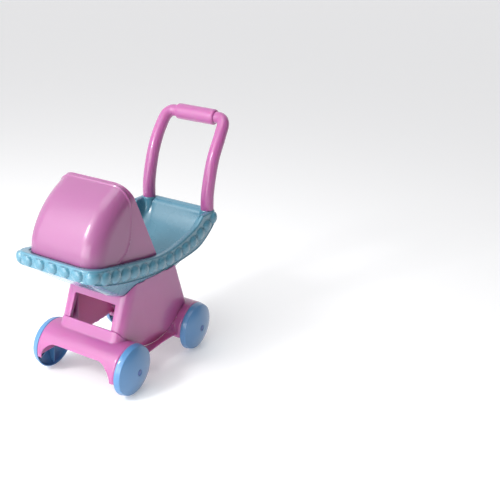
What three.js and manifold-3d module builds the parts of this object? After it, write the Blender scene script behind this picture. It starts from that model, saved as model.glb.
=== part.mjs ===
// Doll stroller in moulded plastic, millimetres, +Z up, front towards -Y.
// While it is built, y = 0 is the front axle and z = 0 the floor; the last lines
// move it so that the origin is the middle of its box on the floor.
import * as THREE from 'three';
import { mergeVertices } from 'three/addons/utils/BufferGeometryUtils.js';
import Module from 'manifold-3d';

const wasm = await Module();
wasm.setup();

// ---------------------------------------------------------------- driving dimensions
const GAP = 0.35;                 // clearance between parts that touch
const WHEELBASE = 230;
const WHEEL_R = 53.5;             // tyre edge of a wheel, and the height of its axle
const WHEEL_IN = 97;              // |x| of a wheel's open edge
const WHEEL_OUT = 110;            // |x| where the tread ends and the domed face starts
const WHEEL_DOME = 12;            // how far the middle of the face stands out
const WHEEL_WALL = 2.6;
const HUB_R = 9;                  // hub tube behind the face
const AXLE_R = 2.5;
const RUNNING_GAP = 0.3;          // between the axle and a wheel's hub
const CAP_R = 6.2;
const HOUSING_R = 54;             // half-round housings over the axles
const HOUSING_HALF = 94;
const SHELL = 3;                  // wall of the base and the upper body
const BODY_HALF = 79;             // half width of the upper body
const SEAM = { y: 114, z: 199, r: 138 };   // round joint line between body and base
const ARCH = { y: 112, z: -76, r: 142 };  // arched lower edge of the side skirts
const SKIRT_HALF = 90;             // at the skirts' ends; they flare a little more in the middle
const SKIRT_FLARE = 9;
const SILL_TOP = 127.3;
const RIM_HALF = 94.5;            // half width of the tray's rim
const RIM_FRONT = -105;
const RIM_REAR = 318;
const RIM_WALL = 10.2;            // width of the rim seen from above
const BEAD_R = 13.5;              // the beads around the rim
const BEAD_PITCH = 29.3;
const BEAD_OUT = 6;               // how far a bead stands out of the rim
const BOWL_WALL = 2.6;
const BOWL_FLOOR = 190;
const HOOD_HALF = 84;
const HOOD_WALL = 2.6;
const HOOD_PIVOT = { y: 106, z: 258 };     // lower rear corner of the hood's side
const ARM_X = 77.6;
const ARM_Y = 301;
const SOCKET_TOP = 303.4;
const PEG_R = 9;
const PEG_BORE = PEG_R + GAP;
const PEG_LENGTH = 22;
const GRIP_R = 17.5;
const GRIP_HALF = 50;
const GRIP_Y = 368;
const GRIP_Z = 493.3;
const SCREW_R = 1.9;
const SCREW_HEAD_R = 4;
const SCREW_HEAD_H = 2.4;
const COLUMN_R = 5.5;             // screw columns inside the upper body
const COLUMNS = [{ y: 32, lug: 79 }, { y: 166, lug: 62 }];
const COLUMN_X = 66;

// ---------------------------------------------------------------- materials
const plastic = (color, roughness) => new THREE.MeshStandardMaterial({ color, roughness, metalness: 0 });
const PINK = plastic(0xd98fc4, 0.3);
const BLUE = plastic(0x8cc3dc, 0.3);
const CAP_BLUE = plastic(0x3f7fb8, 0.35);
const STEEL = new THREE.MeshStandardMaterial({ color: 0xb9bcc0, roughness: 0.35, metalness: 1 });

// ---------------------------------------------------------------- helpers
const model = new THREE.Group();

function weld(geometry) {
  const bare = geometry.clone();
  bare.deleteAttribute('normal');
  bare.deleteAttribute('uv');
  return mergeVertices(bare, 1e-4);
}

function signedVolume(geometry) {
  const p = geometry.attributes.position;
  const index = geometry.index.array;
  const [a, b, c] = [new THREE.Vector3(), new THREE.Vector3(), new THREE.Vector3()];
  let total = 0;
  for (let i = 0; i < index.length; i += 3) {
    a.fromBufferAttribute(p, index[i]);
    b.fromBufferAttribute(p, index[i + 1]);
    c.fromBufferAttribute(p, index[i + 2]);
    total += a.dot(b.cross(c)) / 6;
  }
  return total;
}

function solid(geometry) {
  const welded = weld(geometry);
  const triVerts = Uint32Array.from(welded.index.array);
  if (signedVolume(welded) < 0) triVerts.reverse();
  const vertProperties = Float32Array.from(welded.attributes.position.array);
  return new wasm.Manifold(new wasm.Mesh({ numProp: 3, vertProperties, triVerts }));
}

function geometryOf(manifold) {
  const mesh = manifold.getMesh();
  const geometry = new THREE.BufferGeometry();
  geometry.setAttribute('position', new THREE.BufferAttribute(mesh.vertProperties, 3));
  geometry.setIndex(new THREE.BufferAttribute(mesh.triVerts, 1));
  return geometry;
}

const joined = (solids) => solids.reduce((all, one) => all.add(one));

// Edges and slivers finer than this are merged away.
const CLEAN = 0.03;

function place(name, manifold, material) {
  const mesh = new THREE.Mesh(geometryOf(manifold.simplify(CLEAN)), material);
  mesh.name = name;
  model.add(mesh);
  return mesh;
}

// Closed surface through rings of equal length. The two end rings are filled either
// from their middle point ('fan') or across, point to opposite point ('strip').
function loft(rings, ends = 'fan') {
  const n = rings[0].length;
  const points = rings.flat();
  const index = [];
  for (let r = 0; r < rings.length - 1; r++) {
    for (let i = 0; i < n; i++) {
      const j = (i + 1) % n;
      const [a, b, c, d] = [r * n + i, r * n + j, (r + 1) * n + j, (r + 1) * n + i];
      index.push(a, b, c, a, c, d);
    }
  }
  const last = (rings.length - 1) * n;
  if (ends === 'strip') {
    for (let i = 0; i < n / 2 - 1; i++) {
      const j = n - 1 - i;
      index.push(i, j, i + 1, i + 1, j, j - 1);
      index.push(last + i, last + i + 1, last + j, last + i + 1, last + j - 1, last + j);
    }
  } else {
    for (const [base, flip] of [[0, true], [last, false]]) {
      const middle = new THREE.Vector3();
      for (let i = 0; i < n; i++) middle.add(points[base + i]);
      points.push(middle.divideScalar(n));
      for (let i = 0; i < n; i++) {
        const j = (i + 1) % n;
        if (flip) index.push(points.length - 1, base + j, base + i);
        else index.push(points.length - 1, base + i, base + j);
      }
    }
  }
  const geometry = new THREE.BufferGeometry();
  geometry.setAttribute('position', new THREE.Float32BufferAttribute(points.flatMap((p) => p.toArray()), 3));
  geometry.setIndex(index);
  return geometry;
}

function box(x0, x1, y0, y1, z0, z1) {
  const geometry = new THREE.BoxGeometry(x1 - x0, y1 - y0, z1 - z0);
  geometry.translate((x0 + x1) / 2, (y0 + y1) / 2, (z0 + z1) / 2);
  return solid(geometry);
}

function rodX(radius, x0, x1, y, z, segments = 16) {
  const geometry = new THREE.CylinderGeometry(radius, radius, x1 - x0, segments);
  geometry.rotateZ(-Math.PI / 2);
  geometry.translate((x0 + x1) / 2, y, z);
  return solid(geometry);
}

function rodZ(radius, x, y, z0, z1, segments = 12) {
  const geometry = new THREE.CylinderGeometry(radius, radius, z1 - z0, segments);
  geometry.rotateX(Math.PI / 2);
  geometry.translate(x, y, (z0 + z1) / 2);
  return solid(geometry);
}

// Rounded rectangle in plan, anticlockwise from the front right corner. Every outline
// has the same number of points, so outlines can be lofted to each other.
const CORNER_STEPS = 4;
const SIDE_STEPS = 11;
function plan(half, front, rear, frontRadius, rearRadius) {
  const points = [];
  const corner = (cx, cy, radius, start) => {
    for (let i = 0; i <= CORNER_STEPS; i++) {
      const angle = start + (Math.PI / 2) * (i / CORNER_STEPS);
      points.push([cx + radius * Math.cos(angle), cy + radius * Math.sin(angle)]);
    }
  };
  const side = (x, from, to) => {
    for (let i = 1; i < SIDE_STEPS; i++) points.push([x, from + (to - from) * (i / SIDE_STEPS)]);
  };
  corner(half - frontRadius, front + frontRadius, frontRadius, -Math.PI / 2);
  side(half, front + frontRadius, rear - rearRadius);
  corner(half - rearRadius, rear - rearRadius, rearRadius, 0);
  corner(-half + rearRadius, rear - rearRadius, rearRadius, Math.PI / 2);
  side(-half, rear - rearRadius, front + frontRadius);
  corner(-half + frontRadius, front + frontRadius, frontRadius, Math.PI);
  return points;
}

const blend = (a, b, t) => a + (b - a) * t;

// ---------------------------------------------------------------- tray
// The rim's lower and upper edges dip towards the middle and climb to the rear.
const rimLow = (y) => 226 + 0.00072 * (y - 141) ** 2 + 0.005 * Math.max(0, y - 230) ** 2;
const rimHigh = (y) => {
  if (y < 110) return 259 + Math.hypot(0.17 * (y - 110), 3);
  return Math.min(262 + 0.0016 * (y - 115) ** 2 + 0.012 * Math.max(0, y - 232) ** 2, SOCKET_TOP);
};
const rimMiddle = (y) => (rimLow(y) + rimHigh(y)) / 2;
const hoodSeat = (y) => 5 * Math.min(1, Math.max(0, (133 - y) / 12));

const FLOOR_PLAN = { half: 64, front: 14, rear: 192, radius: 26 };
const MOUTH_REAR = 292;           // rear wall of the bowl just below its rounded top
const BOWL_REAR = 284;            // rear edge of the bowl's outside, under the rim
const SHOULDER_REAR = 306;        // where that wall's top starts to round over

// The bowl from the rim down to its floor: t = 0 at the rim, 1 at the floor's edge.
function bowlRing(top, t, lift, inset) {
  const floor = plan(FLOOR_PLAN.half - inset, FLOOR_PLAN.front + inset, FLOOR_PLAN.rear - inset,
    FLOOR_PLAN.radius, FLOOR_PLAN.radius);
  const down = t * (1.25 - 0.25 * t);
  return floor.map(([x, y], i) => new THREE.Vector3(
    blend(top[i].x, x, t), blend(top[i].y, y, t), blend(top[i].z, BOWL_FLOOR + lift, down)));
}

function rimRing(inset, height, rear = RIM_REAR - inset, rearRadius = Math.max(6, 18 - inset)) {
  return plan(RIM_HALF - inset, RIM_FRONT + inset, rear, Math.max(12, 30 - inset), rearRadius)
    .map(([x, y]) => new THREE.Vector3(x, y, height(y)));
}

const BOWL_STEPS = [0.3, 0.6, 0.85, 1];

function bowlOutside(grow) {
  const top = rimRing(10 - grow, (y) => rimLow(y) + 1 - grow, BOWL_REAR + grow, 24);
  return BOWL_STEPS.map((t) => bowlRing(top, t, -grow, -grow)).reverse();
}

// The tray's outer shape filled solid and grown by the joint gap, to cut its seat.
function trayPlug() {
  const rings = bowlOutside(GAP);
  rings.push(rimRing(-GAP, (y) => rimLow(y) - GAP), rimRing(-GAP, (y) => rimHigh(y) + 40));
  return solid(loft(rings));
}

// Points around the rim, one bead pitch apart, starting at the middle of the front.
function beadPlaces() {
  const outline = plan(RIM_HALF, RIM_FRONT, RIM_REAR, 30, 18)
    .map(([x, y]) => new THREE.Vector3(x, y, rimMiddle(y)));
  const half = outline.slice(0, outline.length / 2);
  const path = [new THREE.Vector3(0, RIM_FRONT, rimMiddle(RIM_FRONT)), ...half,
    new THREE.Vector3(0, RIM_REAR, rimMiddle(RIM_REAR))];
  const curve = new THREE.CurvePath();
  for (let i = 1; i < path.length; i++) curve.add(new THREE.LineCurve3(path[i - 1], path[i]));
  const count = Math.round(curve.getLength() / BEAD_PITCH);
  return Array.from({ length: count + 1 }, (_, i) => curve.getPoint(i / count));
}

function bead(at) {
  const radius = Math.min(BEAD_R, (rimHigh(at.y) - rimLow(at.y)) / 2 - 1);
  const geometry = new THREE.CylinderGeometry(radius * 0.62, radius, BEAD_OUT + 2, 8);
  const outward = new THREE.Vector3(at.x - Math.sign(at.x) * Math.min(Math.abs(at.x), RIM_HALF - 30),
    at.y - THREE.MathUtils.clamp(at.y, RIM_FRONT + 30, RIM_REAR - 18), 0).normalize();
  geometry.rotateY(Math.PI / 8);
  geometry.translate(0, BEAD_OUT / 2 - 1, 0);
  geometry.applyQuaternion(new THREE.Quaternion().setFromUnitVectors(new THREE.Vector3(0, 1, 0), outward));
  geometry.translate(at.x, at.y, at.z);
  return solid(geometry);
}

// A socket for the handle: straight boss, then a cone that runs down the bowl's wall.
function socket(side) {
  const ring = (x, y, z, radius) => Array.from({ length: 16 }, (_, i) => new THREE.Vector3(
    side * x + radius * Math.cos((i * Math.PI) / 8), y + radius * Math.sin((i * Math.PI) / 8), z));
  return solid(loft([ring(76, 272, 246, 4), ring(ARM_X - 1, ARM_Y - 4, 277, 15), ring(ARM_X, ARM_Y, SOCKET_TOP, 16.2)]));
}

const TRAY_BOSSES = [[-40, 36], [40, 36], [-40, 160], [40, 160]];
const SHELF_TOP = 183;

// The rounded edge where the rim turns down into the bowl: small at the sides, broad at the rear.
function shoulderRing(angle) {
  const depth = (y) => 2 + 10 * Math.min(1, Math.max(0, (y - 258) / 30));
  return rimRing(RIM_WALL + 0.3 + 3.7 * Math.sin(angle),
    (y) => rimHigh(y) - hoodSeat(y) - depth(y) * (1 - Math.cos(angle)),
    SHOULDER_REAR - (SHOULDER_REAR - MOUTH_REAR) * Math.sin(angle), 20 - 4 * Math.sin(angle));
}

function tray() {
  const rings = bowlOutside(0);
  rings.push(rimRing(5, (y) => rimLow(y) + 1), rimRing(0, rimLow), rimRing(0, (y) => rimHigh(y) - 4),
    rimRing(3, rimHigh), rimRing(RIM_WALL, rimHigh, SHOULDER_REAR, 20),
    rimRing(RIM_WALL + 0.3, (y) => rimHigh(y) - hoodSeat(y), SHOULDER_REAR - 0.3, 20));
  for (const angle of [Math.PI / 6, Math.PI / 3, Math.PI / 2]) rings.push(shoulderRing(angle));
  const inside = rimRing(RIM_WALL + 4.6, (y) => rimLow(y) + 6, MOUTH_REAR - 7, 22);
  rings.push(inside);
  for (const t of BOWL_STEPS) rings.push(bowlRing(inside, t, BOWL_WALL, BOWL_WALL));
  let body = solid(loft(rings));
  for (const at of beadPlaces()) {
    body = body.add(bead(at));
    if (Math.abs(at.x) > 1) body = body.add(bead(at.clone().setX(-at.x)));
  }
  for (const side of [-1, 1]) {
    body = body.add(socket(side))
      .subtract(rodZ(PEG_BORE, side * ARM_X, ARM_Y, SOCKET_TOP - PEG_LENGTH - 1, SOCKET_TOP + 9))
      .subtract(rodZ(SCREW_R + GAP, side * ARM_X, ARM_Y, 240, SOCKET_TOP - PEG_LENGTH))
      .subtract(rodZ(SCREW_HEAD_R + 1, side * ARM_X, ARM_Y, 240, SOCKET_TOP - PEG_LENGTH - 4));
  }
  body = body.subtract(box(-52, 52, MOUTH_REAR + 6.5, RIM_REAR - 4, 240, SOCKET_TOP - 7));
  for (const [x, y] of TRAY_BOSSES) {
    body = body.add(rodZ(5, x, y, SHELF_TOP + GAP, BOWL_FLOOR + 1))
      .subtract(rodZ(SCREW_R + GAP, x, y, SHELF_TOP - 1, BOWL_FLOOR - 0.5));
  }
  return place('tray', body, BLUE);
}

// ---------------------------------------------------------------- hood
// Sections of the hood fan out from its lower rear corner line.
const HOOD_CORNER = 36;

function hoodSection(at, wall) {
  const away = new THREE.Vector2(at.y - HOOD_PIVOT.y, at.z - HOOD_PIVOT.z);
  const height = away.length() - wall;
  away.normalize();
  const half = HOOD_HALF - wall;
  const radius = HOOD_CORNER - wall;
  const START = 6;
  const arch = [[half, START]];
  for (let i = 0; i <= 6; i++) {
    const angle = (Math.PI / 2) * (i / 6);
    arch.push([half - radius + radius * Math.cos(angle), height - radius + radius * Math.sin(angle)]);
  }
  const mirrored = arch.map(([x, h]) => [-x, h]).reverse();
  return [...arch, ...mirrored].map(([x, h]) => new THREE.Vector3(
    x, HOOD_PIVOT.y + away.x * h, HOOD_PIVOT.z + away.y * h));
}

function hood() {
  const profile = new THREE.CatmullRomCurve3([[-90, 292], [-85, 322], [-64.5, 361], [-31.5, 395.5], [14.6, 425]]
    .map(([y, z]) => new THREE.Vector3(0, y, z)));
  const rings = profile.getPoints(12).map((at) => [
    ...hoodSection(at, 0), ...hoodSection(at, HOOD_WALL).reverse()]);
  return place('hood', solid(loft(rings, 'strip')), PINK);
}

// ---------------------------------------------------------------- upper body
const frontPlane = (z) => -4.5 + 0.35 * (z - 125.6);
const rearWall = (z) => 185 + 0.434 * (220 - z);

function tower(low, high, inset, grow = 0) {
  const rings = [];
  for (let i = 0; i <= 5; i++) {
    const z = blend(low, high, i / 5);
    rings.push(plan(BODY_HALF - inset, frontPlane(z) + inset - grow, rearWall(z) - inset, 30 - inset, 14 - inset)
      .map(([x, y]) => new THREE.Vector3(x, y, z)));
  }
  return solid(loft(rings));
}

function prismY(outline, y0, y1) {
  const geometry = new THREE.ExtrudeGeometry(outline, { depth: y1 - y0, bevelEnabled: false, curveSegments: 5 });
  geometry.rotateX(Math.PI / 2);
  geometry.translate(0, y1, 0);
  return solid(geometry);
}

const columnPlaces = COLUMNS.flatMap(({ y, lug }) => [-1, 1].map((side) => ({ side, x: side * COLUMN_X, y, lug })));
const LUG_T = 3.5;
const screwNames = (kind) => ['front_left', 'front_right', 'rear_left', 'rear_right'].map((at) => `${kind}_${at}`);

function upperBody() {
  const outer = tower(55, 232, 0);
  const shelves = joined([box(-76, 76, 6, 50, SHELF_TOP - 3, SHELF_TOP), box(-76, 76, 144, 190, SHELF_TOP - 3, SHELF_TOP)]);
  const frame = tower(100, 205, 0).subtract(tower(95, 210, 0).translate([0, 9, 0]));
  const window = new THREE.Shape([[-52.8, 90], [52.8, 90], [50.1, 175.3], [-50.1, 175.3]]
    .map(([x, z]) => new THREE.Vector2(x, z)));
  let body = outer.subtract(tower(50, 240, SHELL)).add(frame.intersect(box(-80, 80, -60, 60, 90, 210)))
    .add(shelves.intersect(outer))
    .intersect(rodX(SEAM.r - GAP, -100, 100, SEAM.y, SEAM.z, 64))
    .subtract(prismY(window, -40, 60));
  for (const { side, x, y, lug } of columnPlaces) {
    const bottom = lug + LUG_T + GAP;
    const rib = box(Math.min(x, side * 79), Math.max(x, side * 79), y - 5, y + 1.5, bottom + 12, 200);
    body = body.add(rodZ(COLUMN_R, x, y, bottom, 202).add(rib).intersect(outer))
      .subtract(rodZ(SCREW_R + GAP, x, y, bottom - 1, bottom + 14));
  }
  for (const [x, y] of TRAY_BOSSES) {
    body = body.subtract(rodZ(SCREW_R + GAP, x, y, SHELF_TOP - 10, SHELF_TOP + 5));
  }
  return place('upper_body', body.subtract(trayPlug()), PINK);
}

// ---------------------------------------------------------------- lower base
const HOUSING_BOTTOM = 43;
const SILL_STEP = 2.5;             // how far the sill stands in front of the upper body
const seamHeight = (y) => SEAM.z - Math.sqrt(SEAM.r ** 2 - (y - SEAM.y) ** 2);
const archHeight = (y) => ARCH.z + Math.sqrt(ARCH.r ** 2 - (y - ARCH.y) ** 2);

function doorway(half, top, radius) {
  const outline = new THREE.Shape();
  outline.moveTo(-half, 0);
  outline.lineTo(half, 0);
  outline.lineTo(half, top - radius);
  outline.absarc(half - radius, top - radius, radius, 0, Math.PI / 2);
  outline.lineTo(-half + radius, top);
  outline.absarc(-half + radius, top - radius, radius, Math.PI / 2, Math.PI);
  return outline;
}

function housing(y, end) {
  const shell = rodX(HOUSING_R, -HOUSING_HALF, HOUSING_HALF, y, WHEEL_R, 32)
    .subtract(rodX(HOUSING_R - SHELL, -HOUSING_HALF + SHELL, HOUSING_HALF - SHELL, y, WHEEL_R, 32));
  const [y0, y1] = end < 0 ? [y - 70, y - 5] : [y + 5, y + 70];
  return shell.subtract(prismY(doorway(86, 80, 36), y0, y1));
}

function skirt(side) {
  const rings = [];
  for (let i = 0; i <= 8; i++) {
    const y = blend(38, 196, i / 8);
    const [high, low] = [seamHeight(y), archHeight(y)];
    const half = SKIRT_HALF + SKIRT_FLARE * Math.max(0, 1 - ((y - ARCH.y) / 60) ** 2);
    rings.push([[BODY_HALF, high], [half, low], [half - 1, low - SHELL], [BODY_HALF - SHELL, high - SHELL]]
      .map(([x, z]) => new THREE.Vector3(side * x, y, z)));
  }
  return solid(loft(rings));
}

function lowerBase() {
  const sill = tower(98, SILL_TOP, 0, SILL_STEP).subtract(tower(90, SILL_TOP - SHELL, SHELL, SILL_STEP))
    .intersect(box(-80, 80, -40, 17, 90, 130));
  const collar = tower(94, 119, 0).subtract(tower(90, 125, SHELL)).intersect(box(-80, 80, 203, 260, 90, 130));
  const seamCut = rodX(SEAM.r + GAP, -BODY_HALF - GAP, BODY_HALF + GAP, SEAM.y, SEAM.z, 64);
  const hollow = box(-BODY_HALF + SHELL + 0.7, BODY_HALF - SHELL - 0.7, 12, 212, 0, 117);
  let base = joined([housing(0, -1), housing(WHEELBASE, 1), skirt(-1), skirt(1)])
    .subtract(hollow)
    .add(sill).add(collar)
    .subtract(seamCut)
    .subtract(box(-120, 120, -80, 320, -10, HOUSING_BOTTOM));
  for (const { side, x, y, lug } of columnPlaces) {
    const outer = side * (y < 100 ? HOUSING_HALF - 2 : BODY_HALF + 3);
    const inner = side * (COLUMN_X - 8);
    base = base.add(box(Math.min(inner, outer), Math.max(inner, outer), y - 7, y + 7, lug, lug + LUG_T))
      .subtract(rodZ(SCREW_R + GAP, x, y, lug - 1, lug + LUG_T + 1));
  }
  for (const y of [0, WHEELBASE]) base = base.subtract(rodX(AXLE_R + GAP, -110, 110, y, WHEEL_R));
  return place('lower_base', base, PINK);
}

// ---------------------------------------------------------------- handle
function arm(side, name) {
  const curve = new THREE.CatmullRomCurve3([[ARM_X, ARM_Y, SOCKET_TOP - 2], [ARM_X, 300, 340], [ARM_X, 316, 412],
    [ARM_X - 0.2, 341, 459], [73.5, 359.5, 485], [64, 366.5, 492.5], [GRIP_HALF - 2, GRIP_Y, GRIP_Z]]
    .map(([x, y, z]) => new THREE.Vector3(side * x, y, z)));
  const steps = 13;
  const frames = curve.computeFrenetFrames(steps, false);
  const rings = curve.getSpacedPoints(steps).map((at, i) => {
    const radius = blend(14.5, 13, i / steps);
    return Array.from({ length: 12 }, (_, k) => at.clone()
      .addScaledVector(frames.normals[i], radius * Math.cos((k * Math.PI) / 6))
      .addScaledVector(frames.binormals[i], radius * Math.sin((k * Math.PI) / 6)));
  });
  const lowerPeg = rodZ(PEG_R, side * ARM_X, ARM_Y, SOCKET_TOP - PEG_LENGTH + GAP, SOCKET_TOP + 4)
    .subtract(rodZ(SCREW_R + GAP, side * ARM_X, ARM_Y, SOCKET_TOP - PEG_LENGTH - 1, SOCKET_TOP - 3));
  const inner = side * (GRIP_HALF - 18);
  const outer = side * (GRIP_HALF + 3);
  const upperPeg = rodX(PEG_R, Math.min(inner, outer), Math.max(inner, outer), GRIP_Y, GRIP_Z);
  const belowSocket = box(-100, 100, 270, 330, 290, SOCKET_TOP + GAP);
  const insideGrip = box(-GRIP_HALF - GAP, GRIP_HALF + GAP, 340, 400, 460, 530);
  const tube = solid(loft(rings)).subtract(belowSocket).subtract(insideGrip);
  return place(name, tube.add(lowerPeg).add(upperPeg), PINK);
}

function grip() {
  const outline = [[0, -GRIP_HALF], [13.6, -GRIP_HALF], [16.4, -GRIP_HALF + 1.6], [GRIP_R, -GRIP_HALF + 5],
    [GRIP_R, GRIP_HALF - 5], [16.4, GRIP_HALF - 1.6], [13.6, GRIP_HALF], [0, GRIP_HALF]];
  const geometry = new THREE.LatheGeometry(outline.map(([r, a]) => new THREE.Vector2(r, a)), 18);
  geometry.rotateZ(Math.PI / 2);
  geometry.translate(0, GRIP_Y, GRIP_Z);
  let body = solid(geometry);
  for (const side of [-1, 1]) {
    const inner = side * (GRIP_HALF - 18.5);
    const outer = side * (GRIP_HALF + 2);
    body = body.subtract(rodX(PEG_BORE, Math.min(inner, outer), Math.max(inner, outer), GRIP_Y, GRIP_Z));
  }
  return place('handle_grip', body, PINK);
}

// ---------------------------------------------------------------- wheels and axles
const faceDepth = (r) => WHEEL_OUT - WHEEL_IN + WHEEL_DOME * (1 - (r / 50) ** 2);
const RECESS_FLOOR = 19;
const HUB_BACK = -1.1;

function turned(outline, segments, side, x, y) {
  const closed = [...outline, outline[0]].map(([r, a]) => new THREE.Vector2(r, a));
  const geometry = new THREE.LatheGeometry(closed, segments);
  geometry.rotateZ(side * -Math.PI / 2);
  geometry.translate(side * x, y, WHEEL_R);
  return solid(geometry);
}

function wheel(side, y, name) {
  const bore = AXLE_R + RUNNING_GAP;
  const recess = CAP_R + GAP;
  const outline = [[bore, RECESS_FLOOR], [recess, RECESS_FLOOR], [recess, faceDepth(recess)],
    [24, faceDepth(24)], [38, faceDepth(38)], [48.5, 13.9], [51.2, 11.5], [WHEEL_R, 2], [WHEEL_R - 1, 0],
    [WHEEL_R - 1 - WHEEL_WALL, 0], [48, 10.4], [36, faceDepth(36) - WHEEL_WALL],
    [HUB_R, 19.4 - WHEEL_WALL], [HUB_R - 1, HUB_BACK], [bore, HUB_BACK]];
  return place(name, turned(outline, 28, side, WHEEL_IN, y), BLUE);
}

function hubCap(side, y, name) {
  const outline = [[0, 22], [CAP_R, 22], [CAP_R, 24], [4.4, 24.6], [0, 24.8]];
  const geometry = new THREE.LatheGeometry(outline.map(([r, a]) => new THREE.Vector2(r, a)), 12);
  geometry.rotateZ(side * -Math.PI / 2);
  geometry.translate(side * WHEEL_IN, y, WHEEL_R);
  return place(name, solid(geometry), CAP_BLUE);
}

const ring = (inner, outer, from, to) => [[inner, from], [outer, from], [outer, to], [inner, to]];

function running() {
  for (const [end, y] of [['front', 0], ['rear', WHEELBASE]]) {
    place(`${end}_axle`, rodX(AXLE_R, -118.4, 118.4, y, WHEEL_R), STEEL);
    for (const [label, side] of [['left', -1], ['right', 1]]) {
      wheel(side, y, `wheel_${end}_${label}`);
      hubCap(side, y, `hub_cap_${end}_${label}`);
      place(`axle_washer_${end}_${label}`,
        turned(ring(AXLE_R + GAP, 8, HOUSING_HALF + GAP, HOUSING_HALF + 1.55), 12, side, 0, y), STEEL);
      place(`push_nut_${end}_${label}`, turned(ring(AXLE_R + GAP, 5.4, 116.4, 117.6), 12, side, 0, y), STEEL);
    }
  }
}

// ---------------------------------------------------------------- screws
function screw(name, x, y, seat, length) {
  const head = rodZ(SCREW_HEAD_R, x, y, seat - GAP - SCREW_HEAD_H, seat - GAP, 8);
  return place(name, head.add(rodZ(SCREW_R, x, y, seat - GAP - 1, seat + length, 8)), STEEL);
}

function screws() {
  const baseNames = screwNames('base_screw');
  columnPlaces.forEach(({ x, y, lug }, i) => screw(baseNames[i], x, y, lug, LUG_T + 12));
  const trayNames = screwNames('tray_screw');
  TRAY_BOSSES.forEach(([x, y], i) => screw(trayNames[i], x, y, SHELF_TOP - 3, 9));
  screw('handle_screw_left', -ARM_X, ARM_Y, SOCKET_TOP - PEG_LENGTH - 4, 16);
  screw('handle_screw_right', ARM_X, ARM_Y, SOCKET_TOP - PEG_LENGTH - 4, 16);
}

// ---------------------------------------------------------------- assembly
tray();
hood();
upperBody();
lowerBase();
arm(-1, 'handle_arm_left');
arm(1, 'handle_arm_right');
grip();
running();
screws();

const bounds = new THREE.Box3().setFromObject(model);
model.position.set(0, -(bounds.min.y + bounds.max.y) / 2, -bounds.min.z);

const group = new THREE.Group();
group.add(model);
group.updateMatrixWorld(true);

export default group;
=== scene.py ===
# Doll stroller: the finely finished visual model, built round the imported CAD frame.
# Sizes are in millimetres in the working frame of the model (y = 0 at the front axle,
# z = 0 on the floor) and become metres in the CAD's frame when a mesh is made.
import math
import bmesh
import bpy
import numpy as np
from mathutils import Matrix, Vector


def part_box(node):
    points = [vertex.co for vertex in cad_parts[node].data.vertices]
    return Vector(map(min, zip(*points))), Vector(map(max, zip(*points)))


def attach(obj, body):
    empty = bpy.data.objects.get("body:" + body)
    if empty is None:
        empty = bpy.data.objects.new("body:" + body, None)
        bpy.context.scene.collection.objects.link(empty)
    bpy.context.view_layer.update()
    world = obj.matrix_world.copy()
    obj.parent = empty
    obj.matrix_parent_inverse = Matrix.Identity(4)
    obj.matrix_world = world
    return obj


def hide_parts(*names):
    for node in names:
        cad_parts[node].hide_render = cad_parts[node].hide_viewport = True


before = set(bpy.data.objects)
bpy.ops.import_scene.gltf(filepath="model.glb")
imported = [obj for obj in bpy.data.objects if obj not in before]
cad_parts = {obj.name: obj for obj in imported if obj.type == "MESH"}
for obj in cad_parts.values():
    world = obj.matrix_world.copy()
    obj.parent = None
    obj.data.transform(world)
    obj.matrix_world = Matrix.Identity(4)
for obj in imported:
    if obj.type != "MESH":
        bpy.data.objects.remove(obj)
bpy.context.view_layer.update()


# ------------------------------------------------------------------ places from the frame
def box_mm(node):
    low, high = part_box(node)
    return np.array(low) * 1000, np.array(high) * 1000


axle_low, axle_high = box_mm("front_axle")
AXLE_Y = (axle_low[1] + axle_high[1]) / 2
WHEEL_R = (axle_low[2] + axle_high[2]) / 2
rear_low, rear_high = box_mm("rear_axle")
WHEELBASE = (rear_low[1] + rear_high[1]) / 2 - AXLE_Y
wheel_high = box_mm("wheel_front_right")[1]
WHEEL_TIP = wheel_high[0]
tray_low, tray_high = box_mm("tray")
hood_high = box_mm("hood")[1]
base_high = box_mm("lower_base")[1]
body_high = box_mm("upper_body")[1]
grip_low, grip_high = box_mm("handle_grip")
GRIP_HALF = grip_high[0]
GRIP_Y = (grip_low[1] + grip_high[1]) / 2 - AXLE_Y
GRIP_R = (grip_high[2] - grip_low[2]) / 2
GRIP_Z = grip_high[2] - GRIP_R

GAP = 0.35
SHELL = 3.0
BEAD_OUT = 6.0
RIM_HALF = tray_high[0] - BEAD_OUT
RIM_FRONT = tray_low[1] - AXLE_Y + BEAD_OUT
RIM_REAR = 318.0
RIM_WALL = 10.2
RIM_CORNER = 30.0
REAR_CORNER = 18.0
BEAD_R = 13.5
BEAD_PITCH = 29.3
MOUTH_REAR = 292.0
BOWL_REAR = 284.0
MOUTH_CORNER = 36.0
SHOULDER_REAR = 306.0
BOWL_FLOOR = 190.0
BOWL_WALL = 2.6
HOOD_HALF = hood_high[0]
HOOD_WALL = 2.6
HOOD_PIVOT = np.array([106.0, 258.0])
BODY_HALF = body_high[0]
HOUSING_HALF = base_high[0]
HOUSING_R = 54.0
SKIRT_HALF = 90.0
SKIRT_FLARE = 9.0
SEAM_Y, SEAM_Z, SEAM_R = 114.0, 199.0, 138.0
SEAM_LAP = 0.3
ARCH_Y, ARCH_Z, ARCH_R = 112.0, -76.0, 142.0
SILL_TOP = 127.3
SOCKET_TOP = 303.4
ARM_X, ARM_Y = 77.6, 301.0


# ------------------------------------------------------------------ mesh helpers
def to_frame(points):
    moved = np.array(points, float)
    moved[:, 1] += AXLE_Y
    return moved / 1000


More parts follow.
